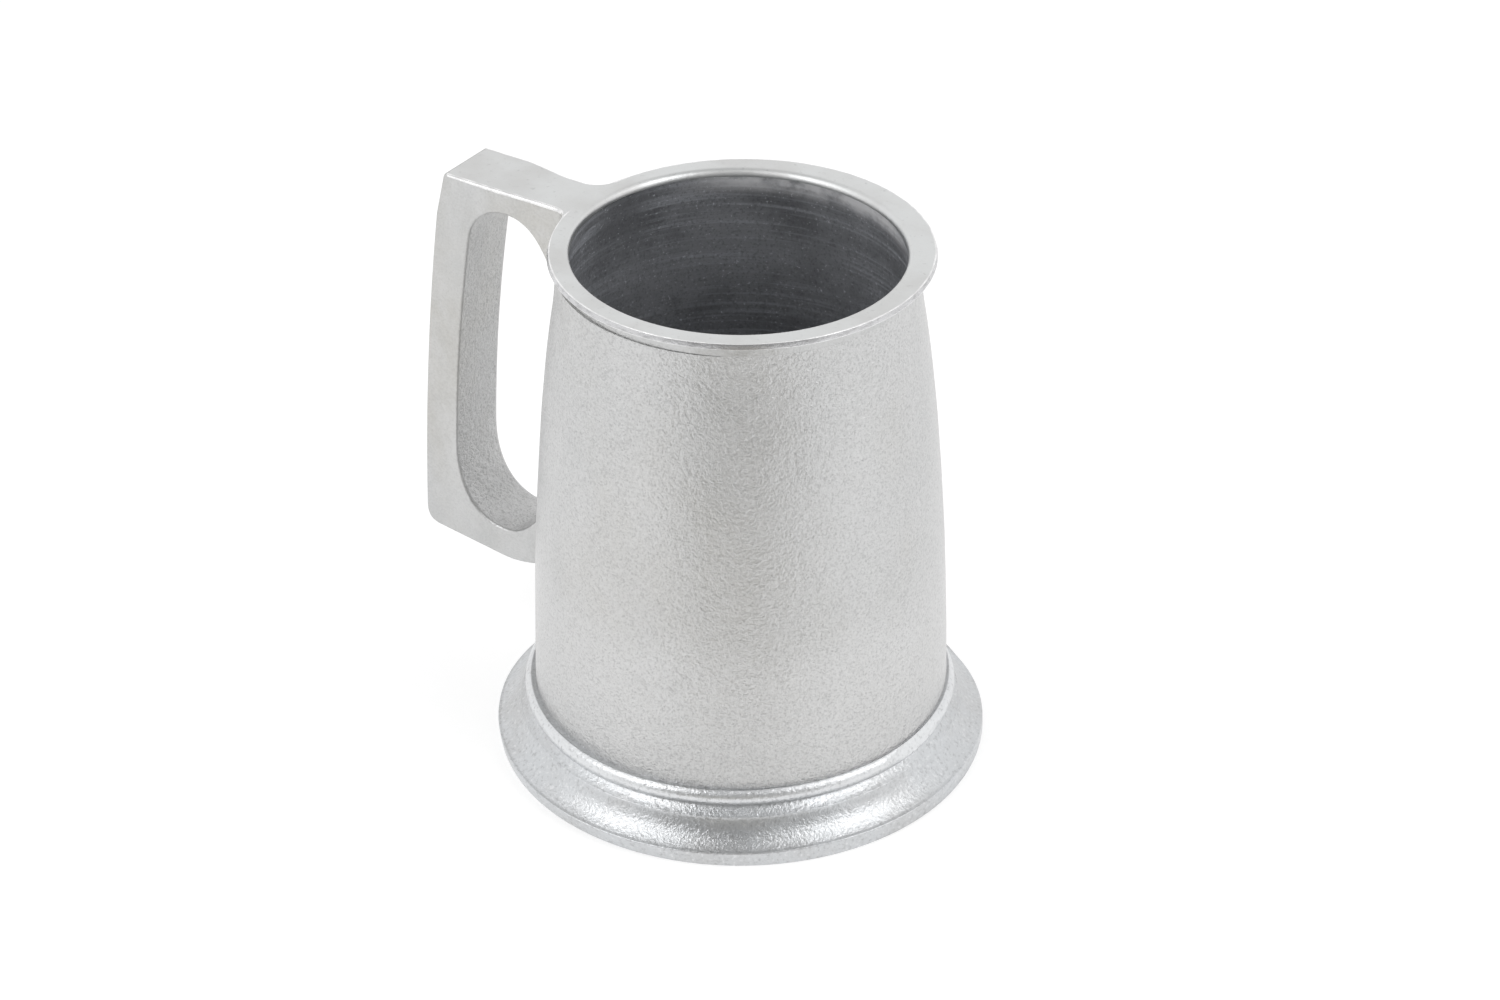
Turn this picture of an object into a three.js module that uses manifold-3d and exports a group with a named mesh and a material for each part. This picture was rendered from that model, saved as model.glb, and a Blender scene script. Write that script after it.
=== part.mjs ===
// Pewter tankard: a flaring drum on a moulded foot, a flat lip and one loop handle.
// Five castings soldered together. Millimetres, +Z up, handle on the -X side,
// origin on the table under the centre of the bounding box.

import * as THREE from 'three';
import { mergeVertices } from 'three/addons/utils/BufferGeometryUtils.js';
import Module from 'manifold-3d';

const wasm = await Module();
wasm.setup();

// Overall sizes.
const HEIGHT = 120;
const FOOT_R = 54.9;
const HANDLE_REACH = 82;
const SOLDER = 0.3;
const RADIAL_SEGMENTS = 72;

// Drum: radius and height of the foot end, the belly control point and the lip end.
const DRUM_OUTER = { footR: 46.3, bellyR: 44.9, bellyZ: 77, lipR: 37.6 };
const DRUM_INNER = { footR: 44.0, bellyR: 42.5, bellyZ: 77, lipR: 35.4 };
const DRUM_STEPS = 12;
const SPIGOT_R = 36.9;
const SPIGOT_H = 1.8;

// Lip ring: a flat flange with a short collar that hides the top of the drum.
const LIP_R = 40.7;
const MOUTH_R = 35.4;
const LIP_EDGE = 1.2;
const LIP_ROUND = 0.4;
const COLLAR_R = 38.5;
const COLLAR_Z = HEIGHT - 3.8;
const FLANGE_Z = HEIGHT - 1.7;

// Foot ring, from the table up: plinth, hollow flare, small step, bead.
const PLINTH_H = 3.5;
const PLINTH_CHAMFER = 0.3;
const PLINTH_LIP = 0.4;
const FLARE_MID = { r: 50.9, z: 5.5 };
const FLARE_TOP = { r: 49, z: 8.8 };
const STEP = 0.9;
const STEP_RISE = 0.2;
const BEAD_R = 2.1;
const BEAD_START = -30;
const BEAD_END = 60;
const FOOT_TOP = 14.4;
const GROOVE = 0.3;
const LEDGE_Z = 6.3;
const LEDGE_R = 41.5;
const LEDGE_T = 2.7;
const SOLE_INNER_R = 48;
const RECESS_CHAMFER = 1;

// Floor disc, with a little play inside the drum.
const FLOOR_T = 3;
const FLOOR_PLAY = 0.1;

// Handle: a bar bent into a loop, flat on top and flush with the lip.
const BAR_WIDTH = 15.2;
const BAR_ROUND = 0.9;
const NECK_WIDTH = 13.2;
const ROOT_WIDTH = 22.4;
const ROOT_FILLET = 5;
const ROOT_SET_IN = 0.3;
const FILLET_TURN = 80;
const FILLET_STEPS = 5;
const ROOT_R = 34;
const TAPER_R = 64;
const TOP_ROOT_R = 46.5;
const LOW_ROOT_R = 51;
const TOP_REACH = 72.1;
const BACK_BELLY = { reach: 79, z: 92 };
const HEEL = { reach: 77.6, z: 27.3, cornerZ: 33.2 };
const SHANK = { reach: 55, z: 24.7, rootZ: 29 };
const CURVE_SEGMENTS = 8;
const CLEAR = 1;

// The loop's inside, in reach and height: arch under the top arm, grip, and low arm.
// The bends are the control points of its Bezier stretches.
const ARCH = { rootReach: 43.6, rootZ: 101.5, reach: 55.9, z: HEIGHT - 5.5, endReach: 66.1, endZ: 105.8 };
const ARCH_BENDS = [[65, 111.2], [60.9, ARCH.z], [48.6, ARCH.z], [46, 109]];
const GRIP = { bellyReach: 71.1, bellyZ: 77.6, endReach: 72.3, endZ: 51 };
const LOW_BENDS = [[67.7, 33], [72.6, 40]];
const LOW_ARM = { reach: 59, z: 33, bellyReach: 48.4, rootZ: 56 };
const ARCH_ROOT_Z = 80;

const PEWTER = { color: 0xc9c9c6, roughness: 0.42, metalness: 1 };
const DARK_PEWTER = { color: 0x8f8f8d, roughness: 0.55, metalness: 1 };

const drumFoot = LEDGE_Z + SOLDER;
const drumTop = FLANGE_Z - SOLDER;

const v2 = (x, y) => new THREE.Vector2(x, y);

// Points along the flaring curve of the drum, from the foot end to the lip end.
function drumCurve({ footR, bellyR, bellyZ, lipR }, top) {
  const curve = new THREE.QuadraticBezierCurve(v2(footR, drumFoot), v2(bellyR, bellyZ), v2(lipR, top));
  return curve.getPoints(DRUM_STEPS);
}

// Points on an elliptical arc, angles in degrees, anticlockwise from +r.
function arc(r, z, radiusR, radiusZ, from, to, steps) {
  const points = [];
  for (let i = 0; i <= steps; i += 1) {
    const a = THREE.MathUtils.degToRad(from + ((to - from) * i) / steps);
    points.push(v2(r + radiusR * Math.cos(a), z + radiusZ * Math.sin(a)));
  }
  return points;
}

// A closed section, listed anticlockwise as (radius, height), spun about the drum axis.
function turned(section) {
  return new THREE.LatheGeometry([...section, section[0]], RADIAL_SEGMENTS).rotateX(Math.PI / 2);
}

// A flat shape in (reach, height) given a width across the handle, with rounded arrises.
// Reach runs out along -X from the drum axis.
function crosswise(shape, width, round) {
  const bevel = { bevelEnabled: round > 0, bevelSize: round, bevelThickness: round, bevelOffset: -round };
  const depth = width - 2 * round;
  const options = { ...bevel, bevelSegments: 3, depth, curveSegments: CURVE_SEGMENTS };
  const geometry = new THREE.ExtrudeGeometry(shape, options);
  geometry.translate(0, 0, -depth / 2);
  geometry.rotateX(Math.PI / 2);
  geometry.rotateZ(Math.PI);
  return geometry;
}

// A half outline of (reach, half width) mirrored about the handle's middle and given a height.
function upright(halfOutline, bottom, top) {
  const far = halfOutline.map(([reach, half]) => v2(-reach, half));
  const near = halfOutline.map(([reach, half]) => v2(-reach, -half)).reverse();
  const options = { bevelEnabled: false, depth: top - bottom };
  const geometry = new THREE.ExtrudeGeometry(new THREE.Shape([...far, ...near]), options);
  geometry.translate(0, 0, bottom);
  return geometry;
}

function toManifold(geometry) {
  const bare = geometry.clone();
  bare.deleteAttribute('normal');
  bare.deleteAttribute('uv');
  const merged = mergeVertices(bare, 1e-4);
  const vertProperties = new Float32Array(merged.attributes.position.array);
  const triVerts = new Uint32Array(merged.index.array);
  return new wasm.Manifold(new wasm.Mesh({ numProp: 3, vertProperties, triVerts }));
}

function fromManifold(solid) {
  const mesh = solid.getMesh();
  const geometry = new THREE.BufferGeometry();
  geometry.setAttribute('position', new THREE.BufferAttribute(mesh.vertProperties, 3));
  geometry.setIndex(new THREE.BufferAttribute(mesh.triVerts, 1));
  geometry.computeVertexNormals();
  return geometry;
}

// The tapering tube, with a thinner spigot at the top that the lip ring caps.
function drum() {
  const outer = drumCurve(DRUM_OUTER, COLLAR_Z - SOLDER);
  const inner = drumCurve(DRUM_INNER, drumTop).reverse();
  const spigot = [v2(SPIGOT_R, drumTop - SPIGOT_H), v2(SPIGOT_R, drumTop)];
  return turned([...outer, ...spigot, ...inner]);
}

// Flat flange with a softened outer edge, an undercut and a collar round the drum.
function lipRing() {
  const edgeR = LIP_R - LIP_ROUND;
  const topRound = arc(edgeR, HEIGHT - LIP_ROUND, LIP_ROUND, LIP_ROUND, 0, 90, 3);
  const lowRound = arc(edgeR, HEIGHT - LIP_EDGE, LIP_ROUND, LIP_ROUND / 2, -90, 0, 3);
  const mouthRound = arc(MOUTH_R + LIP_ROUND, HEIGHT - LIP_ROUND, LIP_ROUND, LIP_ROUND, 90, 180, 3);
  const collar = [
    v2(MOUTH_R, FLANGE_Z),
    v2(SPIGOT_R + SOLDER, FLANGE_Z),
    v2(SPIGOT_R + SOLDER, COLLAR_Z),
    v2(COLLAR_R, COLLAR_Z),
    v2(COLLAR_R, FLANGE_Z),
  ];
  return turned([...collar, ...lowRound, ...topRound, ...mouthRound]);
}

// Moulded ring: plinth, hollow flare, step and bead outside; bore, ledge and recess inside.
function footRing() {
  const flareFoot = v2(FOOT_R - PLINTH_LIP, PLINTH_H);
  const flareTop = v2(FLARE_TOP.r, FLARE_TOP.z);
  const flare = new THREE.QuadraticBezierCurve(flareFoot, v2(FLARE_MID.r, FLARE_MID.z), flareTop);
  const beadZ = FOOT_TOP - BEAD_R * Math.sin(THREE.MathUtils.degToRad(BEAD_END));
  const beadMid = FLARE_TOP.r - STEP - BEAD_R;
  const bead = arc(beadMid, beadZ, BEAD_R, BEAD_R, BEAD_START, BEAD_END, 6);
  const boreR = DRUM_OUTER.footR + SOLDER;
  const section = [
    v2(SOLE_INNER_R, 0),
    v2(FOOT_R, 0),
    v2(FOOT_R, PLINTH_H - PLINTH_CHAMFER),
    ...flare.getPoints(6),
    v2(FLARE_TOP.r - STEP, FLARE_TOP.z + STEP_RISE),
    ...bead,
    v2(boreR, FOOT_TOP - GROOVE),
    v2(boreR, LEDGE_Z),
    v2(LEDGE_R, LEDGE_Z),
    v2(LEDGE_R, LEDGE_Z - LEDGE_T),
    v2(SOLE_INNER_R - RECESS_CHAMFER, LEDGE_Z - LEDGE_T - RECESS_CHAMFER),
  ];
  return turned(section);
}

// Plain disc dropped inside the drum onto the ledge of the foot.
function floorDisc() {
  const r = DRUM_INNER.footR - FLOOR_PLAY - SOLDER;
  const bottom = LEDGE_Z + SOLDER;
  return turned([v2(0, bottom), v2(r, bottom), v2(r, bottom + FLOOR_T), v2(0, bottom + FLOOR_T)]);
}

// Side view of the handle as an open loop whose two ends run into the drum.
function handleShape() {
  const shape = new THREE.Shape();
  shape.moveTo(ROOT_R, HEIGHT);
  shape.lineTo(TOP_REACH, HEIGHT);
  shape.quadraticCurveTo(BACK_BELLY.reach, BACK_BELLY.z, HANDLE_REACH, HEEL.cornerZ);
  shape.quadraticCurveTo(HANDLE_REACH, HEEL.z, HEEL.reach, HEEL.z);
  shape.lineTo(SHANK.reach, SHANK.z);
  shape.lineTo(ROOT_R, SHANK.rootZ);
  shape.lineTo(ROOT_R, LOW_ARM.rootZ);
  shape.quadraticCurveTo(LOW_ARM.bellyReach, LOW_ARM.z, LOW_ARM.reach, LOW_ARM.z);
  shape.bezierCurveTo(...LOW_BENDS.flat(), GRIP.endReach, GRIP.endZ);
  shape.quadraticCurveTo(GRIP.bellyReach, GRIP.bellyZ, ARCH.endReach, ARCH.endZ);
  shape.bezierCurveTo(...ARCH_BENDS.slice(0, 2).flat(), ARCH.reach, ARCH.z);
  shape.bezierCurveTo(...ARCH_BENDS.slice(2).flat(), ARCH.rootReach, ARCH.rootZ);
  shape.lineTo(ROOT_R, ARCH_ROOT_Z);
  return shape;
}

// The solid of revolution that the handle is fitted against, one solder film larger.
// CLEAR is how far a cutting shape stands past what it cuts.
function saddle() {
  const wall = drumCurve(DRUM_OUTER, COLLAR_Z - SOLDER).map((p) => v2(p.x + SOLDER, p.y));
  const section = [
    v2(0, drumFoot),
    ...wall,
    v2(COLLAR_R + SOLDER, COLLAR_Z - SOLDER),
    v2(COLLAR_R + SOLDER, FLANGE_Z - SOLDER),
    v2(LIP_R + SOLDER, FLANGE_Z - SOLDER),
    v2(LIP_R + SOLDER, HEIGHT + CLEAR),
    v2(0, HEIGHT + CLEAR),
  ];
  return toManifold(turned(section));
}

// Half outline of a root: the bar's half width spreading through a fillet to the full root width.
function rootOutline(reach, half) {
  const points = [[reach + CLEAR, half]];
  for (let i = 0; i <= FILLET_STEPS; i += 1) {
    const turn = THREE.MathUtils.degToRad((FILLET_TURN * i) / FILLET_STEPS);
    points.push([reach - ROOT_FILLET * Math.sin(turn), half + ROOT_FILLET * (1 - Math.cos(turn))]);
  }
  return [...points, [ROOT_R, ROOT_WIDTH / 2]];
}

// Loop handle: a rounded bar that narrows to the lip and spreads where it meets the drum.
function handle() {
  const bar = toManifold(crosswise(handleShape(), BAR_WIDTH, BAR_ROUND));
  const spread = toManifold(crosswise(handleShape(), ROOT_WIDTH, 0));
  const middle = HEIGHT / 2;
  const half = BAR_WIDTH / 2;
  const neck = NECK_WIDTH / 2;
  const above = HEIGHT + CLEAR;
  const beyond = HANDLE_REACH + CLEAR;
  const taper = [[beyond, half], [TAPER_R, half], [TOP_ROOT_R, neck], [ROOT_R, neck]];
  const straight = [[beyond, half + CLEAR], [ROOT_R, half + CLEAR]];
  const upper = toManifold(upright(taper, middle, above));
  const lower = toManifold(upright(straight, 0, middle));
  const topRoot = toManifold(upright(rootOutline(TOP_ROOT_R, neck - ROOT_SET_IN), middle, above));
  const lowRoot = toManifold(upright(rootOutline(LOW_ROOT_R, half - ROOT_SET_IN), 0, middle));
  const slim = bar.intersect(upper.add(lower));
  const roots = spread.intersect(topRoot.add(lowRoot));
  return fromManifold(slim.add(roots).subtract(saddle()));
}

const tankard = new THREE.Group();
tankard.name = 'tankard';
const centreX = (HANDLE_REACH - FOOT_R) / 2;

function place(name, geometry, look) {
  geometry.translate(centreX, 0, 0);
  const mesh = new THREE.Mesh(geometry, new THREE.MeshStandardMaterial(look));
  mesh.name = name;
  tankard.add(mesh);
}

place('drum', drum(), PEWTER);
place('lip_ring', lipRing(), PEWTER);
place('foot_ring', footRing(), PEWTER);
place('floor_disc', floorDisc(), DARK_PEWTER);
place('handle', handle(), PEWTER);

export default tankard;
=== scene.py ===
import math

import bpy
from mathutils import Matrix, Vector, noise


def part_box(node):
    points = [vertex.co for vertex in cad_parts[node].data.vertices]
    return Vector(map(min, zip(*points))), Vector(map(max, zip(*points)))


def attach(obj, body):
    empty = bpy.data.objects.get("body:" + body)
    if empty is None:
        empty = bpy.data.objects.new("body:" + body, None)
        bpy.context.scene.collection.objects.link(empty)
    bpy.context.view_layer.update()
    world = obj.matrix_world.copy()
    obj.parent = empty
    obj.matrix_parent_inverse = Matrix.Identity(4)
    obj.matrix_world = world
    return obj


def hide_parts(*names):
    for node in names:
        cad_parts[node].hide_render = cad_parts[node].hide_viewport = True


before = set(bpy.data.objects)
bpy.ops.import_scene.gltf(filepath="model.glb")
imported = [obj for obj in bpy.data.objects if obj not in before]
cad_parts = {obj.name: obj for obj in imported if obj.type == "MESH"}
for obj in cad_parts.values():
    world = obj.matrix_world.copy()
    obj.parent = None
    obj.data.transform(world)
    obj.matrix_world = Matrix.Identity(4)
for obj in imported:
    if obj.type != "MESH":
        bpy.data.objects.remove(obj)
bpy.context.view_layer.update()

# The pewter tankard's looks. Lengths in the sections below are millimetres, measured
# outwards from the drum's axis (reach or radius) and up from the table (z); MM turns
# them into the frame's metres. The handle is on the -X side.

MM = 0.001

drum_low, drum_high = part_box("drum")
foot_low, foot_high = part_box("foot_ring")
lip_low, lip_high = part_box("lip_ring")
handle_low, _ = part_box("handle")
floor_low, floor_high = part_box("floor_disc")

AXIS_X = (drum_low[0] + drum_high[0]) / 2
HEIGHT = lip_high[2] / MM
LIP_R = (lip_high[0] - lip_low[0]) / 2 / MM
FOOT_R = (foot_high[0] - foot_low[0]) / 2 / MM
REACH = (AXIS_X - handle_low[0]) / MM
DRUM_FOOT_Z = drum_low[2] / MM
FLOOR_TOP = floor_high[2] / MM
FLOOR_UNDER = floor_low[2] / MM
FOOT_TOP = foot_high[2] / MM

SEGMENTS = 288


# ---- shapes -----------------------------------------------------------------------


def bezier(points, t):
    """The point at t on a curve of any order, as a 2D vector."""
    points = [Vector(p) for p in points]
    while len(points) > 1:
        points = [a.lerp(b, t) for a, b in zip(points, points[1:])]
    return points[0]


def curve(points, steps):
    """Points at even steps of t along a curve."""
    return [tuple(bezier(points, i / steps)) for i in range(steps + 1)]


def arc(r, z, radius, start, end, steps, rise=None):
    """Points on an arc, in degrees anticlockwise from +r; rise is its radius in z."""
    rise = radius if rise is None else rise
    points = []
    for i in range(steps + 1):
        a = math.radians(start + (end - start) * i / steps)
        points.append((r + radius * math.cos(a), z + rise * math.sin(a)))
    return points


def smooth(low, high, value):
    """0 below low, 1 above high, an S curve between."""
    t = min(max((value - low) / (high - low), 0.0), 1.0)
    return t * t * (3 - 2 * t)


def mix(a, b, t):
    return a + (b - a) * t


def polar(angle, radius, shift=(0, 0)):
    return radius * math.cos(angle) + shift[0], radius * math.sin(angle) + shift[1]


def ripple(x, y, z, size, seed):
    """Smooth noise in -1..1 with features of about the given size."""
    return noise.noise(Vector((x / size + seed, y / size, z / size)))


def make_object(name, vertices, faces, materials, slots):
    """A smooth-shaded mesh, sharp only across real arrises, that rides on the one body."""
    mesh = bpy.data.meshes.new(name)
    mesh.from_pydata(vertices, [], faces)
    for material in materials:
        mesh.materials.append(material)
    mesh.polygons.foreach_set("use_smooth", [True] * len(mesh.polygons))
    mesh.polygons.foreach_set("material_index", slots)
    mesh.set_sharp_from_angle(angle=math.radians(38))
    piece = bpy.data.objects.new(name, mesh)
    bpy.context.collection.objects.link(piece)
    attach(piece, "root")
    return piece


def spin(name, bands, materials, adjust):
    """Turns a closed (radius, z) outline about the drum's axis.

    The outline comes as bands, (points, material number) each. adjust(angle, radius, z)
    gives the point's place, which lets a turned shape have handmade flaws."""
    profile = [(point, slot) for points, slot in bands for point in points]
    vertices = []
    for i in range(SEGMENTS):
        angle = math.tau * i / SEGMENTS
        for (radius, z), _ in profile:
            x, y, z = adjust(angle, radius, z)
            vertices.append((AXIS_X + x * MM, y * MM, z * MM))
    count = len(profile)
    faces = []
    slots = []
    for i in range(SEGMENTS):
        here, there = i * count, (i + 1) % SEGMENTS * count
        for j in range(count):
            k = (j + 1) % count
            faces.append((here + j, there + j, there + k, here + k))
            slots.append(profile[j][1])
    return make_object(name, vertices, faces, materials, slots)


# ---- materials --------------------------------------------------------------------


class Nodes:
    """Adds shader nodes and links to a material or a world, a line each."""

    def __init__(self, owner):
        owner.use_nodes = True
        self.tree = owner.node_tree

    def add(self, kind, **settings):
        node = self.tree.nodes.new(kind)
        for key, value in settings.items():
            setattr(node, key, value)
        return node

    def put(self, value, socket):
        """Links an output to the socket, or sets the socket to a plain value."""
        if hasattr(value, "is_output"):
            self.tree.links.new(value, socket)
        else:
            socket.default_value = value

    def math(self, operation, a, b=0.0):
        node = self.add("ShaderNodeMath", operation=operation)
        self.put(a, node.inputs[0])
        self.put(b, node.inputs[1])
        return node.outputs["Value"]

    def vector(self, operation, a, b=(0, 0, 0), output="Vector"):
        node = self.add("ShaderNodeVectorMath", operation=operation)
        self.put(a, node.inputs[0])
        self.put(b, node.inputs[1])
        return node.outputs[output]

    def split(self, vector):
        """The X, Y and Z of a vector."""
        node = self.add("ShaderNodeSeparateXYZ")
        self.put(vector, node.inputs["Vector"])
        return node.outputs

    def remap(self, value, low, high, to_low, to_high):
        """An S curve from to_low to to_high as the value passes from low to high."""
        node = self.add("ShaderNodeMapRange", interpolation_type="SMOOTHSTEP")
        self.put(value, node.inputs["Value"])
        self.put(low, node.inputs["From Min"])
        self.put(high, node.inputs["From Max"])
        self.put(to_low, node.inputs["To Min"])
        self.put(to_high, node.inputs["To Max"])
        return node.outputs["Result"]


class Metal(Nodes):
    """The nodes of one metal. Scales are in features per metre, by place on the object."""

    def __init__(self, name):
        self.material = bpy.data.materials.new(name)
        super().__init__(self.material)
        self.shader = self.tree.nodes["Principled BSDF"]
        self.place = self.add("ShaderNodeTexCoord").outputs["Object"]

    def noise(self, scale, detail=2.0, roughness=0.5, stretch=(1, 1, 1), shift=0.0):
        """Noise from 0 to 1. shift tells apart two noises of the same scale."""
        mapping = self.add("ShaderNodeMapping")
        self.put(stretch, mapping.inputs["Scale"])
        self.put((shift, shift, shift), mapping.inputs["Location"])
        self.put(self.place, mapping.inputs["Vector"])
        texture = self.add("ShaderNodeTexNoise")
        self.put(scale, texture.inputs["Scale"])
        self.put(detail, texture.inputs["Detail"])
        self.put(roughness, texture.inputs["Roughness"])
        self.put(mapping.outputs["Vector"], texture.inputs["Vector"])
        return texture.outputs["Fac"]

    def rings(self, scale):
        """Fine turning marks round the drum's axis: noise that depends on radius and z."""
        x, y, z = self.split(self.place)
        across = self.math("SUBTRACT", x, AXIS_X)
        squares = self.math("ADD", self.math("POWER", across, 2.0), self.math("POWER", y, 2.0))
        join = self.add("ShaderNodeCombineXYZ")
        self.put(self.math("SQRT", squares), join.inputs["X"])
        self.put(z, join.inputs["Z"])
        texture = self.add("ShaderNodeTexNoise")
        self.put(scale, texture.inputs["Scale"])
        self.put(3.0, texture.inputs["Detail"])
        self.put(join.outputs["Vector"], texture.inputs["Vector"])
        return texture.outputs["Fac"]

    def along(self, axis, low, high):
        """0 to 1 as a point passes from low to high along X, Y or Z, in metres."""
        return self.remap(self.split(self.place)[axis], low, high, 0.0, 1.0)

    def blend(self, factor, a, b):
        """A colour between a and b."""
        node = self.add("ShaderNodeMix", data_type="RGBA")
        for value, socket in zip((factor, a, b), (0, 6, 7)):
            self.put(value, node.inputs[socket])
        return node.outputs[2]

    def bump(self, height, distance, normal=None):
        """A surface raised by up to distance metres, on top of another bump if given."""
        node = self.add("ShaderNodeBump")
        self.put(1.0, node.inputs["Strength"])
        self.put(distance, node.inputs["Distance"])
        self.put(height, node.inputs["Height"])
        if normal is not None:
            self.put(normal, node.inputs["Normal"])
        return node.outputs["Normal"]

    def finish(self, colour, roughness, normal, metallic=1.0):
        self.put(colour, self.shader.inputs["Base Color"])
        self.put(roughness, self.shader.inputs["Roughness"])
        self.put(normal, self.shader.inputs["Normal"])
        self.put(metallic, self.shader.inputs["Metallic"])
        return self.material


COOL = (0.535, 0.54, 0.54, 1)
WARM = (0.515, 0.503, 0.472, 1)
PALE = (0.68, 0.68, 0.68, 1)
SHADE = (0.33, 0.33, 0.33, 1)

# The bore's darkest colour is partly stain and partly painted shade inside the hollow.
BORE_DARK_STAIN_AND_SHADE = (0.25, 0.255, 0.27, 1)
BORE_LIGHT = (0.44, 0.45, 0.475, 1)
BORE_BRUSHED = (0.60, 0.62, 0.66, 1)
BORE_PIT = (0.14, 0.145, 0.155, 1)
BORE_SPECK = (0.85, 0.87, 0.92, 1)
BORE_RIM_HIGHLIGHT = (0.92, 0.92, 0.93, 1)

TURNED_COOL = (0.71, 0.72, 0.72, 1)
TURNED_GREY = (0.67, 0.67, 0.665, 1)
EDGE_GREY = (0.62, 0.62, 0.63, 1)
# Worn arrises: real wear, brightened further as a painted highlight.
WORN_BRIGHT_HIGHLIGHT = (0.93, 0.93, 0.93, 1)
WORN_GREY = (0.74, 0.74, 0.74, 1)

FOOT_COOL = (0.62, 0.635, 0.65, 1)
FOOT_GREY = (0.565, 0.57, 0.575, 1)
FOOT_PALE_HIGHLIGHT = (0.86, 0.87, 0.88, 1)
FOOT_SPECK = (0.85, 0.85, 0.86, 1)
FLOOR_DARK = (0.20, 0.20, 0.21, 1)
FLOOR_LIGHT = (0.28, 0.28, 0.29, 1)

# Where the cast skin turns paler going down, and where a painted highlight brightens the far part
# of the bore (towards +Y, away from the camera) going up. All in metres.
PALER_BELOW = (0.040, 0.056)
RIM_HIGHLIGHT_Z = ((HEIGHT - 7) * MM, (HEIGHT - 2.5) * MM)
RIM_HIGHLIGHT_Y = (0.018, 0.033)


def cast_pewter(name, grain=1.0, warm=1.0, rough=0.40, pale=0.0):
    """Sand-cast skin: large cool and warm patches, mottling, and a sparkling grain.

    pale lightens it, and lightens it twice as much low down."""
    n = Metal(name)
    patches = n.remap(n.noise(24, 4.0, 0.6, stretch=(1, 1, 0.6)), 0.38, 0.66, 0.0, warm)
    less = n.math("MULTIPLY", n.along("Z", *PALER_BELOW), -pale)
    colour = n.blend(n.math("ADD", less, 2 * pale), n.blend(patches, COOL, WARM), PALE)
    mottle = n.noise(150, 5.0, 0.65, shift=3.1)
    colour = n.blend(n.remap(mottle, 0.38, 0.64, 0.0, 0.32), colour, PALE)
    clouds = n.noise(55, 4.0, 0.6, stretch=(1, 1, 0.5), shift=6.3)
    colour = n.blend(n.remap(clouds, 0.40, 0.62, 0.30, 0.0), colour, PALE)
    sand = n.noise(1700, 2.0, 0.7, shift=7.7)
    colour = n.blend(n.remap(sand, 0.48, 0.68, 0.0, 0.36 * grain), colour, SHADE)
    colour = n.blend(n.remap(sand, 0.32, 0.50, 0.40 * grain, 0.0), colour, PALE)
    shine = n.remap(mottle, 0.3, 0.7, rough - 0.05, rough + 0.07)
    coarse = n.bump(n.noise(620, 3.0, 0.6, shift=5.0), 0.00034 * grain)
    return n.finish(colour, shine, n.bump(sand, 0.00026 * grain, coarse))


def inside_pewter(name):
    """Bore dark from stain and painted shade; brushed rings, bright specks, painted far-rim
    highlight.
    """
    n = Metal(name)
    rings = n.rings(1000)
    stain = n.remap(n.noise(34, 4.0, 0.6), 0.36, 0.64, 0.0, 1.0)
    colour = n.blend(stain, BORE_DARK_STAIN_AND_SHADE, BORE_LIGHT)
    brushed = n.remap(n.noise(30, 2.0, 0.5, shift=8.0), 0.36, 0.56, 0.0, 1.0)
    streaks = n.math("MULTIPLY", n.remap(rings, 0.46, 0.66, 0.0, 0.65), brushed)
    colour = n.blend(streaks, colour, BORE_BRUSHED)
    sand = n.noise(1500, 2.0, 0.7, shift=2.0)
    colour = n.blend(n.remap(sand, 0.52, 0.66, 0.0, 0.4), colour, BORE_PIT)
    colour = n.blend(n.remap(sand, 0.27, 0.37, 0.9, 0.0), colour, BORE_SPECK)
    # Painted highlight: the bore's far rim is lightened in colour and made less metallic.
    far_rim_highlight = n.math("MULTIPLY", n.along("Z", *RIM_HIGHLIGHT_Z), n.along("Y", *RIM_HIGHLIGHT_Y))
    smudge = n.remap(n.noise(130, 4.0, 0.6, shift=6.0), 0.40, 0.66, 1.0, 0.30)
    bright = n.math("MULTIPLY", far_rim_highlight, smudge)
    colour = n.blend(bright, colour, BORE_RIM_HIGHLIGHT)
    shine = n.remap(rings, 0.35, 0.65, 0.40, 0.55)
    normal = n.bump(n.noise(900, 2.0, 0.6), 0.00008, n.bump(rings, 0.00004))
    return n.finish(colour, shine, normal, n.remap(bright, 0.0, 1.0, 0.45, 0.15))


def turned_pewter(name):
    """Smooth matte lip and handle top, with faint clouding and a few scuffs."""
    n = Metal(name)
    patches = n.remap(n.noise(60, 4.0, 0.6), 0.35, 0.7, 0.0, 1.0)
    colour = n.blend(patches, TURNED_COOL, TURNED_GREY)
    scuffs = n.remap(n.noise(800, 3.0, 0.6), 0.58, 0.78, 0.0, 0.3)
    colour = n.blend(scuffs, colour, SHADE)
    shine = n.remap(patches, 0.0, 1.0, 0.42, 0.52)
    normal = n.bump(n.noise(1300, 2.0, 0.6), 0.00003, n.bump(n.noise(240, 2.0), 0.00006))
    return n.finish(colour, shine, normal)


def edge_pewter(name):
    """The lip's turned edge: shinier, with chatter marks and scratches."""
    n = Metal(name)
    scratches = n.noise(420, 4.0, 0.7, stretch=(1, 1, 3), shift=2.4)
    colour = n.blend(n.remap(scratches, 0.45, 0.65, 0.0, 0.5), EDGE_GREY, SHADE)
    shine = n.remap(scratches, 0.3, 0.7, 0.18, 0.34)
    return n.finish(colour, shine, n.bump(scratches, 0.00012))


def worn_highlight_pewter(name):
    """Arrises worn bright, and lightened further as a painted highlight."""
    n = Metal(name)
    patches = n.remap(n.noise(300, 4.0, 0.6, shift=1.2), 0.35, 0.65, 0.0, 1.0)
    colour = n.blend(patches, WORN_BRIGHT_HIGHLIGHT, WORN_GREY)
    shine = n.remap(patches, 0.0, 1.0, 0.22, 0.36)
    return n.finish(colour, shine, n.bump(n.noise(900, 2.0), 0.00004))


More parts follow.
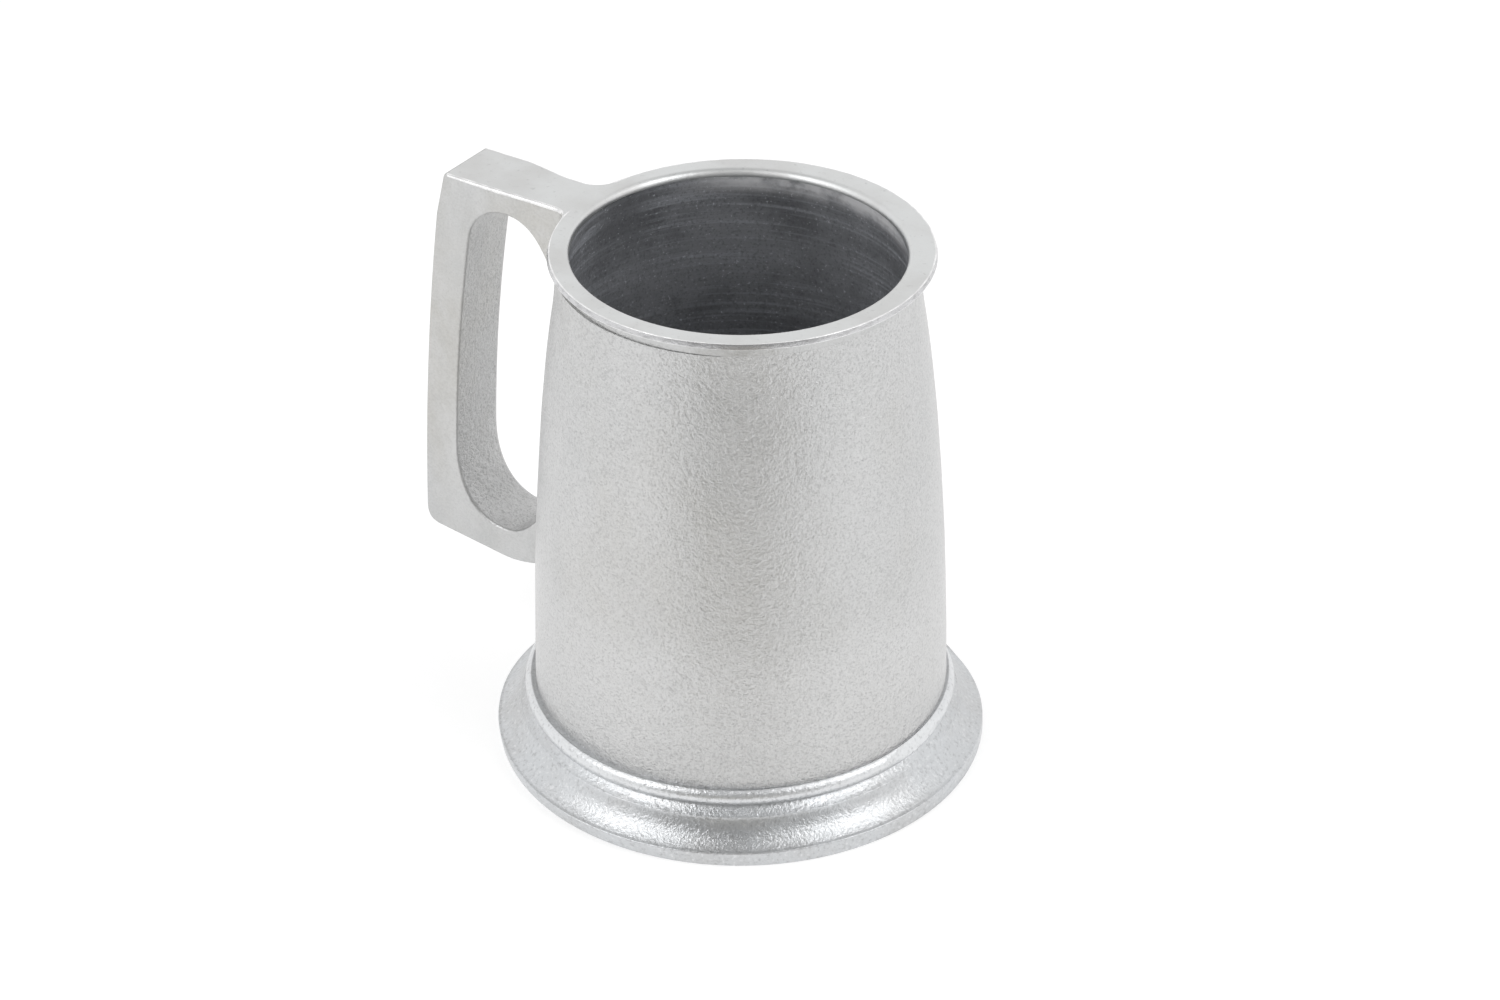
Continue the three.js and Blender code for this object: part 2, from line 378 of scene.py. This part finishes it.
def polished_pewter(name, pale=0.0):
    """Foot: a soft shine, with fine rings and a little cast grain left in."""
    n = Metal(name)
    patches = n.remap(n.noise(50, 4.0, 0.6, shift=4.0), 0.35, 0.7, 0.0, 1.0)
    colour = n.blend(patches, FOOT_COOL, FOOT_GREY)
    # pale lifts the colour towards a painted highlight; the bead uses it.
    colour = n.blend(pale, colour, FOOT_PALE_HIGHLIGHT)
    grain = n.noise(1200, 3.0, 0.65, shift=6.0)
    colour = n.blend(n.remap(grain, 0.52, 0.70, 0.0, 0.45), colour, SHADE)
    colour = n.blend(n.remap(grain, 0.30, 0.44, 0.45, 0.0), colour, FOOT_SPECK)
    shine = n.remap(n.noise(120, 3.0, 0.5), 0.3, 0.7, 0.28, 0.37)
    normal = n.bump(grain, 0.00016, n.bump(n.rings(2200), 0.000012))
    return n.finish(colour, shine, normal)


def dull_pewter(name):
    """Floor: unpolished, with concentric tool marks."""
    n = Metal(name)
    rings = n.rings(900)
    stain = n.remap(n.noise(60, 3.0), 0.3, 0.7, 0.0, 1.0)
    colour = n.blend(stain, FLOOR_DARK, FLOOR_LIGHT)
    shine = n.remap(rings, 0.3, 0.7, 0.42, 0.6)
    normal = n.bump(n.noise(800, 3.0, 0.6), 0.00006, n.bump(rings, 0.00005))
    return n.finish(colour, shine, normal, 0.5)


CAST = cast_pewter("cast_pewter", warm=0.7, pale=0.40)
HANDLE_CAST = cast_pewter("handle_pewter", grain=0.45, warm=0.8)
GRIP_CAST = cast_pewter("grip_pewter", grain=1.1, warm=0.9, rough=0.5, pale=0.45)
INSIDE = inside_pewter("inside_pewter")
TURNED = turned_pewter("turned_pewter")
EDGE = edge_pewter("edge_pewter")
WORN_HIGHLIGHT = worn_highlight_pewter("worn_highlight_pewter")
POLISHED = polished_pewter("polished_pewter")
# The bead is paler than the rest of the foot: rubbing, and a painted highlight.
BEAD_RUBBED_HIGHLIGHT = polished_pewter("bead_rubbed_highlight_pewter", pale=0.5)
DULL = dull_pewter("dull_pewter")


# ---- drum -------------------------------------------------------------------------

# Quadratic curves through (radius, z), foot end to lip end, for both faces of the wall.
COLLAR_Z = HEIGHT - 3.8
OUTER_CURVE = [(46.3, DRUM_FOOT_Z), (44.9, 77), (37.6, COLLAR_Z)]
MOUTH_R = 35.4
INNER_CURVE = [(44.0, DRUM_FOOT_Z), (42.5, 77), (MOUTH_R, HEIGHT - 1.5)]

# Just under the lip the drum swells out again by up to COVE.
COVE = 0.9
COVE_Z = 106.5

# The drum's thinned top goes up inside the lip's collar as far as NECK_Z.
SPIGOT_R = 36.95
SPIGOT_PLAY = 0.05
SEAM = 0.1
NECK_Z = HEIGHT - 1.55

# A rough casting: the bore sits a little off the drum's axis, in x and y, and is a little
# oval. DENTS and STROKES are the (depth, size, seed) of the ripples in the drum's skin.
CORE_SHIFT = (0.10, -0.17)
OVAL = 0.4
OVAL_TURN = math.radians(74)
DENTS = ((0.14, 34, 2.0), (0.03, 9, 5.0))
STROKES = (0.10, 13, 9.0)
STROKE_LENGTH = 5
SKIN_SINK = 0.1


def cove(z):
    """How far the drum swells out again just under the lip."""
    return COVE * max((z - COVE_Z) / (COLLAR_Z - COVE_Z), 0.0) ** 2


def wall_radius(z):
    """The drum's outer radius at a height."""
    low, high = 0.0, 1.0
    for _ in range(24):
        middle = (low + high) / 2
        if bezier(OUTER_CURVE, middle)[1] < z:
            low = middle
        else:
            high = middle
    return bezier(OUTER_CURVE, low)[0] + cove(z)


def bored(angle, radius):
    """A radius of the slightly oval bore."""
    return radius - OVAL * math.cos(2 * (angle - OVAL_TURN))


def drum_wall():
    """Tapering tube with shallow dents and long upright strokes, so never quite round."""
    top = NECK_Z - SPIGOT_PLAY
    outer = [(r + cove(z), z) for r, z in curve(OUTER_CURVE, 72)]
    spigot = [(SPIGOT_R, COLLAR_Z + SEAM), (SPIGOT_R, top)]
    inner = [(r, min(z, top)) for r, z in curve(INNER_CURVE, 40)[::-1]]
    skin = {z: r for r, z in outer}

    def adjust(angle, radius, z):
        if skin.get(z) != radius:
            return *polar(angle, bored(angle, radius), CORE_SHIFT), z
        x, y = polar(angle, radius)
        dents = sum(depth * ripple(x, y, z, size, seed) for depth, size, seed in DENTS)
        depth, size, seed = STROKES
        strokes = depth * ripple(x, y, z / STROKE_LENGTH, size, seed)
        return *polar(angle, radius + dents + strokes - SKIN_SINK), z

    piece = spin("drum_wall", [(outer, 0), (spigot, 0), (inner, 1)], [CAST, INSIDE], adjust)
    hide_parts("drum")


# ---- lip --------------------------------------------------------------------------

LIP_SHIFT = (0.54, 0.67)
LIP_THICK = 1.1
FLAT_R = LIP_R - 0.6
EDGE_LEAN = 0.3
LOW_ARRIS = 0.12
TOP_ARRIS = 0.1
COLLAR_R = 38.4
COLLAR_ROUND = 0.2

# The hollow between the collar and the flange: its centre, and its size in r and z.
HOLLOW = (39.5, HEIGHT - 2.0)
HOLLOW_SIZE = (0.9, 0.5)

# The lip's edge squares up and sinks a little where the handle's flat top runs over it,
# within these angles of the handle on its near and far sides.
FLARE_NEAR = math.radians(14)
FLARE_FAR = math.radians(17)
SUNK = 0.06

# The mouth's arris is rounded, and softer still at the back.
MOUTH_ROUND = 0.8
REAR_SOFTNESS = 2.0
REAR_TURN = 0.3


def square_up(angle, z):
    """How far the edge leans back out, and its new height, under the handle's top."""
    turn = math.remainder(math.pi - angle, math.tau)
    reach = FLARE_FAR if turn > 0 else FLARE_NEAR
    square = 1 - smooth(reach - 0.05, reach + 0.06, abs(turn))
    return EDGE_LEAN * square, mix(z, HEIGHT - SUNK, square)


def lip():
    """Flat flange with a leaning edge, an undercut, and a short collar round the drum."""
    edge = LIP_R - EDGE_LEAN
    under = HEIGHT - LIP_THICK
    collar = [(MOUTH_R, NECK_Z), (SPIGOT_R, NECK_Z), (SPIGOT_R, COLLAR_Z + SEAM)]
    collar += arc(COLLAR_R, COLLAR_Z + COLLAR_ROUND, COLLAR_ROUND, 270, 360, 4)
    collar += arc(*HOLLOW, HOLLOW_SIZE[0], 180, 90, 5, rise=HOLLOW_SIZE[1])
    collar += [(LIP_R - 0.5, under - 0.1)]
    low_arris = arc(LIP_R - LOW_ARRIS, under + 0.05, LOW_ARRIS, 250, 375, 5)
    top_arris = arc(edge - TOP_ARRIS, HEIGHT - TOP_ARRIS, TOP_ARRIS, 15, 90, 4)
    flat = [(FLAT_R, HEIGHT), (MOUTH_R + 2 * MOUTH_ROUND, HEIGHT)]
    mouth = arc(MOUTH_R + MOUTH_ROUND, HEIGHT - MOUTH_ROUND, MOUTH_ROUND, 90, 180, 9)
    # The lip edge's arrises take the worn metal: wear, and a painted highlight as well.
    bands = [(collar, 3), (low_arris[:-1], 2), (low_arris[-1:], 1)]
    bands += [(top_arris, 2), (flat + mouth, 0)]

    def adjust(angle, radius, z):
        if radius > edge - 0.2 and z > HEIGHT - 0.5:
            outwards, z = square_up(angle, z)
            radius += outwards
        if z > NECK_Z and radius < MOUTH_R + MOUTH_ROUND + 0.01:
            rear = smooth(-0.2, 0.7, math.sin(angle - REAR_TURN))
            soft = mix(1, REAR_SOFTNESS, rear)
            radius = mix(MOUTH_R, radius, soft)
            z = mix(HEIGHT, z, soft)
        bore = 1 - smooth(MOUTH_R + 1.5, LIP_R - 1, radius)
        shift = [mix(a, b, bore) for a, b in zip(LIP_SHIFT, CORE_SHIFT)]
        return *polar(angle, mix(radius, bored(angle, radius), bore), shift), z

    piece = spin("lip", bands, [TURNED, EDGE, WORN_HIGHLIGHT, HANDLE_CAST], adjust)
    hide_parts("lip_ring")


# ---- foot and floor ---------------------------------------------------------------

PLINTH_R = FOOT_R - 0.4
PLINTH_H = 3.5
SOLE_ROUND = 0.25
PLINTH_ROUND = 0.3
FLARE_START = (PLINTH_R - 0.5, PLINTH_H - 0.02)
FLARE_MID = (50.5, 5.2)
STEP = (49.0, 8.7)
STEP_ROUND = 0.25
BEAD = (45.9, 12.45)
BEAD_R = 2.1
GROOVE = (46.45, 14.25)
INSIDE_R = 44.0
LEDGE_R = 41.5
LEDGE_UNDER = 3.6
RECESS = (46.2, 0.9)
RECESS_SIZE = (1.6, 1.4)
SOLE_R = 48.0

# Away from the handle the bead and the groove are cut back to a plain slope, fully within
# GROUND_FROM radians of GROUND_ANGLE and not at all beyond GROUND_TO.
GROUND_ANGLE = -0.02
GROUND_FROM, GROUND_TO = 0.06, 0.26
GROUND_Z = STEP[1] - 1.5
GROUND_LOW_R = STEP[0] + 0.3
NECK_R = 46.6

# The foot bulges at the front left, and is slacker and lower at the back.
OUTSIDE_R = 45
WAVES = (0.12, 22, 8.0)
BULGE = 0.95
BULGE_ANGLE = -math.pi / 2 - 0.2
REAR_ANGLE = math.radians(115)
REAR_CUT = 1.2
REAR_DROP = 0.2

FLOOR_R = 43.6
DISH = ((0.7, 0.2), (0.4, 0.3))
DISH_DEPTH = 0.35
CENTRE_R = 0.02


def ground_away(angle, radius, z):
    """The radius where the bead and the groove are cut back, away from the handle."""
    turn = abs(math.remainder(angle - GROUND_ANGLE, math.tau))
    ground = 1 - smooth(GROUND_FROM, GROUND_TO, turn)
    level = (z - GROUND_Z) / (FOOT_TOP - GROUND_Z)
    slope = mix(GROUND_LOW_R, NECK_R, level ** 0.9)
    return mix(radius, min(radius, slope), ground)


def out_of_round(angle, radius, z):
    """The radius and height of a point on the uneven outside of the foot."""
    x, y = polar(angle, radius)
    depth, size, seed = WAVES
    radius += min(depth * ripple(x, y, z, size, seed) - 0.05, 0.0)
    radius += BULGE * max(math.cos(angle - BULGE_ANGLE), 0.0) ** 4
    rear = min(3 * max(math.cos(angle - REAR_ANGLE), 0.0) ** 1.6, 1.0)
    radius = max(radius - REAR_CUT * rear, min(radius, NECK_R))
    return radius, z - REAR_DROP * rear * min(z, PLINTH_H)


def foot():
    """Moulded ring: plinth, hollow flare, small step, bead and a groove against the drum."""
    outline = arc(PLINTH_R - SOLE_ROUND, SOLE_ROUND, SOLE_ROUND, 270, 360, 3)
    outline += arc(PLINTH_R - PLINTH_ROUND, PLINTH_H - PLINTH_ROUND, PLINTH_ROUND, 0, 80, 4)
    outline += curve([FLARE_START, FLARE_MID, STEP], 18)
    outline += arc(STEP[0] - STEP_ROUND, STEP[1] + 0.1, STEP_ROUND, 20, 90, 4)
    bead = arc(*BEAD, BEAD_R, -56, 68, 18)
    inside = [GROOVE, (46.1, GROOVE[1] - 0.1), (INSIDE_R, GROOVE[1] - 0.2)]
    inside += [(INSIDE_R, 6.4), (LEDGE_R, 6.3), (LEDGE_R, LEDGE_UNDER)]
    inside += arc(*RECESS, RECESS_SIZE[0], 130, 30, 5, rise=RECESS_SIZE[1])
    inside += [(SOLE_R, 0.0)]

    def adjust(angle, radius, z):
        if radius > OUTSIDE_R and z > GROUND_Z:
            radius = ground_away(angle, radius, z)
        if radius > OUTSIDE_R and z > 0.3:
            radius, z = out_of_round(angle, radius, z)
        return *polar(angle, radius), z

    bands = [(outline, 0), (bead, 1), (inside, 0)]
    piece = spin("foot", bands, [POLISHED, BEAD_RUBBED_HIGHLIGHT], adjust)
    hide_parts("foot_ring")


def floor():
    """The tankard's own floor, dished very slightly, filling the bottom of the drum."""
    outline = [(CENTRE_R, FLOOR_UNDER), (FLOOR_R, FLOOR_UNDER)]
    outline += [(FLOOR_R, FLOOR_TOP), (FLOOR_R - 1, FLOOR_TOP)]
    outline += [(FLOOR_R * part, FLOOR_TOP - depth) for part, depth in DISH]
    outline += [(CENTRE_R, FLOOR_TOP - DISH_DEPTH)]
    piece = spin("floor", [(outline, 0)], [DULL], lambda angle, r, z: (*polar(angle, r), z))
    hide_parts("floor_disc")


# ---- handle -----------------------------------------------------------------------

BAR_HALF = 7.6
NECK_NEAR, NECK_FAR = 7.3, 5.9
LOW_NECK_HALF = 7.3
CAP_HALF = 6.0
ARRIS = 0.7
CORNER_STEPS = 5
SIDE_STEPS = 16
LEAN_FROM_Z = 30

# The roots spread into the body by a fillet. The far ones sink under the drum's skin.
FAR_FILLET = 4.6
LOW_FILLET, TOP_FILLET = 4.0, 2.6
FAR_SINK = 0.4
ROOT_REACH = 60
ROOT_BEND = 7.0

# Side view in (reach, z). Each run pairs a stretch of the outside with a stretch of the
# loop's inside: outer control points, inner control points, first t, last t, steps.
ARCH_ROOT = [(40.4, 93), (43.7, 103), (46.4, 114.4), (55.9, 114.4)]
ARCH_GRIP = [(55.9, 114.4), (60.9, 114.4), (65.0, 111.2), (66.1, 105.8)]
GRIP = [(66.1, 105.8), (71.1, 77.6), (72.3, 51)]
LOW_BEND = [(72.3, 51), (72.6, 40), (67.7, 33), (59, 33)]
LOW_ROOT = [(59, 33), (51.6, 33), (44.2, 50)]
TOP_RUNS = [
    ([(FLAT_R, HEIGHT), (56.5, HEIGHT)], ARCH_ROOT, 0, 1, 36),
    ([(56.5, HEIGHT), (71.5, HEIGHT)], ARCH_GRIP, 0, 0.55, 10),
]
LOW_RUNS = [
    ([(71.5, HEIGHT), (72.15, HEIGHT), (72.4, HEIGHT - 0.8)], ARCH_GRIP, 0.55, 0.60, 5),
    ([(72.4, HEIGHT - 0.8), (73.5, 114.9), (74.8, 109.7)], ARCH_GRIP, 0.60, 1, 8),
    ([(74.8, 109.7), (80.6, 72.1), (REACH, 31.8)], GRIP, 0, 1, 28),
    ([(REACH, 31.8), (REACH, 29.2), (81.2, 28.0), (78.7, 27.6)], LOW_BEND, 0, 0.5, 14),
    ([(78.7, 27.6), (60.8, 25.5)], LOW_BEND, 0.5, 1, 12),
    ([(60.8, 25.5), (54.8, 24.8), (50.5, 26.4), (44.9, 28.6)], LOW_ROOT, 0, 1, 36),
]
UNDER_LIP = HEIGHT - 1.3
HIDDEN_START = [((37.4, UNDER_LIP), (40.2, 93.0)), ((LIP_R - 0.02, UNDER_LIP), (40.3, 93.0))]


def handle_stations():
    """(outer, inner) point pairs along the loop, starting out of sight under the lip."""
    stations = [(Vector(outer), Vector(inner)) for outer, inner in HIDDEN_START]
    for number, (outer, inner, first, last, steps) in enumerate(TOP_RUNS + LOW_RUNS):
        # A run starts where the one before it ended, so only the first needs its own start.
        for i in range(min(number, 1), steps + 1):
            t = i / steps
            stations.append((bezier(outer, t), bezier(inner, mix(first, last, t))))
    return stations


def body_radius(z):
    """What the handle's roots grow out of: the drum, or the lip above it."""
    drum = wall_radius(min(max(z, DRUM_FOOT_Z), COLLAR_Z))
    return mix(drum, LIP_R, smooth(HEIGHT - 7, HEIGHT - 1.6, z))


def half_width(reach, z, far):
    """Half the bar's width: tapering to the neck, spreading at the root, narrow inside."""
    top = smooth(55, 75, z)
    neck = mix(LOW_NECK_HALF, NECK_FAR if far else NECK_NEAR, top)
    width = mix(neck, BAR_HALF, smooth(47, 61, reach))
    fillet = FAR_FILLET if far else mix(LOW_FILLET, TOP_FILLET, top)
    gap = reach - body_radius(z) + (FAR_SINK if far else 0)
    if gap < fillet:
        width += fillet - math.sqrt(fillet * fillet - (fillet - max(gap, 0.0)) ** 2)
    return mix(width, CAP_HALF, smooth(0.1, 0.8, -gap))


def fill_flats(corners):
    """Adds points along the flats, crowded towards the arrises so that the flats stay flat."""
    corner = CORNER_STEPS + 1
    ring = []
    for k in range(4):
        ring += corners[k * corner:(k + 1) * corner]
        (p, y0), (q, y1) = ring[-1], corners[(k + 1) * corner % len(corners)]
        for i in range(1, SIDE_STEPS):
            t = 0.5 - 0.5 * math.cos(math.pi * i / SIDE_STEPS)
            ring.append((p.lerp(q, t), mix(y0, y1, t)))
    return ring


def handle_ring(outer, inner):
    """A rounded rectangle of (reach and z, y) points round the bar: corners and flats."""
    along = (outer - inner).normalized()
    arris = min(ARRIS, (outer - inner).length * 0.3)
    corners = []
    for side, end, start in ((1, outer, 0), (-1, outer, 90), (-1, inner, 180), (1, inner, 270)):
        centre = end - along * (arris if end is outer else -arris)
        for i in range(CORNER_STEPS + 1):
            turn = math.radians(start + 90 * i / CORNER_STEPS)
            point = centre + along * (arris * math.sin(turn))
            half = half_width(point[0], point[1], side > 0)
            corners.append((point, side * (half - arris) + arris * math.cos(turn)))
    return fill_flats(corners)


def handle_vertex(point, y):
    """Places a point, held to the width at its own reach and bent round the body."""
    reach, z = point
    limit = half_width(reach, z, y > 0)
    if reach < ROOT_REACH:
        y = max(min(y, limit), -limit)
    radius = body_radius(z)
    near = 1 - smooth(0.0, ROOT_BEND, reach - radius)
    reach -= near * (radius - math.sqrt(radius * radius - y * y))
    at_lip = smooth(HEIGHT - 4, HEIGHT - 1.5, z) * (1 - smooth(LIP_R, 52, reach))
    lean = LIP_SHIFT[1] * max(z - LEAN_FROM_Z, 0) / (HEIGHT - LEAN_FROM_Z)
    return AXIS_X + (LIP_SHIFT[0] * at_lip - reach) * MM, (y + lean) * MM, z * MM


def handle_slot(station, place, top_stations):
    """Material of a face: grip side, flat top, worn top arrises with a painted highlight, or the
    cast rest.
    """
    quarter, step = divmod(place, CORNER_STEPS + SIDE_STEPS)
    on_flat = step >= CORNER_STEPS
    if quarter == 2 and on_flat:
        return 1
    if station < top_stations:
        if quarter == 0 and on_flat:
            return 2
        if quarter < 2 and not on_flat:
            return 3
    return 0


def handle():
    """Loop handle, lofted round the loop from the lip to the foot of the drum."""
    rings = [handle_ring(outer, inner) for outer, inner in handle_stations()]
    vertices = [handle_vertex(point, y) for ring in rings for point, y in ring]
    count = len(rings[0])
    last = (len(rings) - 1) * count
    top_stations = len(HIDDEN_START) + sum(run[4] for run in TOP_RUNS)
    faces = [tuple(range(count))[::-1]]
    slots = [0]
    for i in range(len(rings) - 1):
        here, there = i * count, (i + 1) * count
        for j in range(count):
            k = (j + 1) % count
            faces.append((here + j, here + k, there + k, there + j))
            slots.append(handle_slot(i, j, top_stations))
    faces.append(tuple(range(last, last + count)))
    slots.append(0)
    materials = [HANDLE_CAST, GRIP_CAST, TURNED, WORN_HIGHLIGHT]
    piece = make_object("loop_handle", vertices, faces, materials, slots)
    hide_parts("handle")


# ---- studio -----------------------------------------------------------------------

# The camera: degrees, and millimetres from the middle of the drum.
CAMERA_AZIMUTH = 34.0
CAMERA_ELEVATION = 32.48
CAMERA_DISTANCE = 759.8
CAMERA_ROLL = -0.395
AIM_SHIFT = 0.535
LENS = 84
SENSOR = 36
FRAME_SHIFT = (0.0084, -0.0057)

# The surround's levels, and the range over which it dims: the cosine of the angle from
# behind the camera, and the height of a direction.
WALL_LIGHT, GAP_LIGHT = 1.0, 0.36
GAP_RANGE = (0.50, 0.92)
CEILING_LIGHT = 0.45
CEILING_RANGE = (0.75, 0.97)

# The softboxes: degrees from the camera, elevation, and metres.
SOFTBOXES = {"softbox_left": -57, "softbox_right": 60}
SOFTBOX_ELEVATION = 48
SOFTBOX_DISTANCE = 1.0
SOFTBOX_SIZE = (0.52, 0.70)
SOFTBOX_POWER = 2.2

# The table, just under the sole so that the two faces never meet. In metres.
TABLE_HALF = 3.0
TABLE_Z = -0.00005
TABLE_GREY = 0.50
TABLE_GLOW = 0.60

# The card in front of the tankard: metres from the drum's axis to its foot and its top.
FLAG_REACH = (0.145, 0.34)
FLAG_HEIGHT = 0.13
FLAG_HALF = 0.055
FLAG_GREY = 0.02
FLAG_TINT = (1, 0.95, 0.86, 1)
FLAG_GLOW = 0.40

MIDDLE = Vector((AXIS_X, 0, HEIGHT / 2 * MM))


def toward(azimuth, elevation):
    """Unit vector from the tankard: azimuth 0 is -Y, 90 is +X, in degrees."""
    a, e = math.radians(azimuth), math.radians(elevation)
    return Vector((math.sin(a) * math.cos(e), -math.cos(a) * math.cos(e), math.sin(e)))


def camera():
    """A long lens looking down at the middle of the drum, handle to the left."""
    back = toward(CAMERA_AZIMUTH, CAMERA_ELEVATION)
    level = toward(CAMERA_AZIMUTH + 90, 0)
    target = MIDDLE - level * AIM_SHIFT * MM
    upright = back.cross(level)
    roll = math.radians(CAMERA_ROLL)
    right = level * math.cos(roll) + upright * math.sin(roll)
    up = upright * math.cos(roll) - level * math.sin(roll)
    data = bpy.data.cameras.new("camera")
    data.lens = LENS
    data.sensor_width = SENSOR
    data.shift_x, data.shift_y = FRAME_SHIFT
    data.clip_end = 10
    item = bpy.data.objects.new("camera", data)
    turn = Matrix((right, up, back)).transposed().to_4x4()
    item.matrix_world = Matrix.Translation(target + back * CAMERA_DISTANCE * MM) @ turn
    bpy.context.collection.objects.link(item)
    bpy.context.scene.camera = item


def softbox(name, azimuth):
    """An area light aimed at the middle of the tankard."""
    away = toward(azimuth, SOFTBOX_ELEVATION)
    data = bpy.data.lights.new(name, "AREA")
    data.shape = "RECTANGLE"
    data.size, data.size_y = SOFTBOX_SIZE
    data.energy = SOFTBOX_POWER
    item = bpy.data.objects.new(name, data)
    item.location = MIDDLE + away * SOFTBOX_DISTANCE
    item.rotation_euler = away.to_track_quat("Z", "Y").to_euler()
    bpy.context.collection.objects.link(item)


def surroundings():
    """White studio walls with a dark opening behind the camera and a greyer ceiling."""
    world = bpy.data.worlds.new("studio")
    n = Nodes(world)
    direction = n.add("ShaderNodeTexCoord").outputs["Generated"]
    level = n.vector("NORMALIZE", n.vector("MULTIPLY", direction, (1, 1, 0)))
    facing = n.vector("DOT_PRODUCT", level, toward(CAMERA_AZIMUTH, 0), output="Value")
    walls = n.remap(facing, *GAP_RANGE, WALL_LIGHT, GAP_LIGHT)
    ceiling = n.remap(n.split(direction)["Z"], *CEILING_RANGE, 1.0, CEILING_LIGHT)
    background = n.tree.nodes["Background"]
    n.put(n.math("MULTIPLY", walls, ceiling), background.inputs["Strength"])
    n.put((1, 1, 1, 1), background.inputs["Color"])
    bpy.context.scene.world = world


def glowing(name, grey, roughness, tint, glow):
    """A plain matte material that also gives off light."""
    material = bpy.data.materials.new(name)
    material.use_nodes = True
    sockets = material.node_tree.nodes["Principled BSDF"].inputs
    sockets["Base Color"].default_value = (grey, grey, grey, 1)
    sockets["Roughness"].default_value = roughness
    sockets["Emission Color"].default_value = tint
    sockets["Emission Strength"].default_value = glow
    return material


def sheet(name, corners, material):
    mesh = bpy.data.meshes.new(name)
    mesh.from_pydata(corners, [], [(0, 1, 2, 3)])
    mesh.materials.append(material)
    item = bpy.data.objects.new(name, mesh)
    bpy.context.collection.objects.link(item)
    return item


def table():
    """A plain pale light table, far wider than the view."""
    signs = ((-1, -1), (1, -1), (1, 1), (-1, 1))
    corners = [(x * TABLE_HALF, y * TABLE_HALF, TABLE_Z) for x, y in signs]
    sheet("table_top", corners, glowing("white_table", TABLE_GREY, 0.9, (1, 1, 1, 1), TABLE_GLOW))


def flag_card():
    """A dim warm card that leans away in front of the tankard. Only reflections see it."""
    axis = Vector((AXIS_X, 0, 0))
    away = toward(CAMERA_AZIMUTH, 0)
    side = toward(CAMERA_AZIMUTH + 90, 0) * FLAG_HALF
    low = axis + away * FLAG_REACH[0]
    high = axis + away * FLAG_REACH[1] + Vector((0, 0, FLAG_HEIGHT))
    corners = [low - side, low + side, high + side, high - side]
    item = sheet("flag_card", corners, glowing("flag_card", FLAG_GREY, 1.0, FLAG_TINT, FLAG_GLOW))
    item.visible_camera = False
    item.visible_diffuse = False
    item.visible_shadow = False


def studio():
    surroundings()
    table()
    flag_card()
    for name, turn in SOFTBOXES.items():
        softbox(name, CAMERA_AZIMUTH + turn)
    bpy.context.scene.view_settings.view_transform = "Standard"


camera()
drum_wall()
lip()
foot()
floor()
handle()
studio()
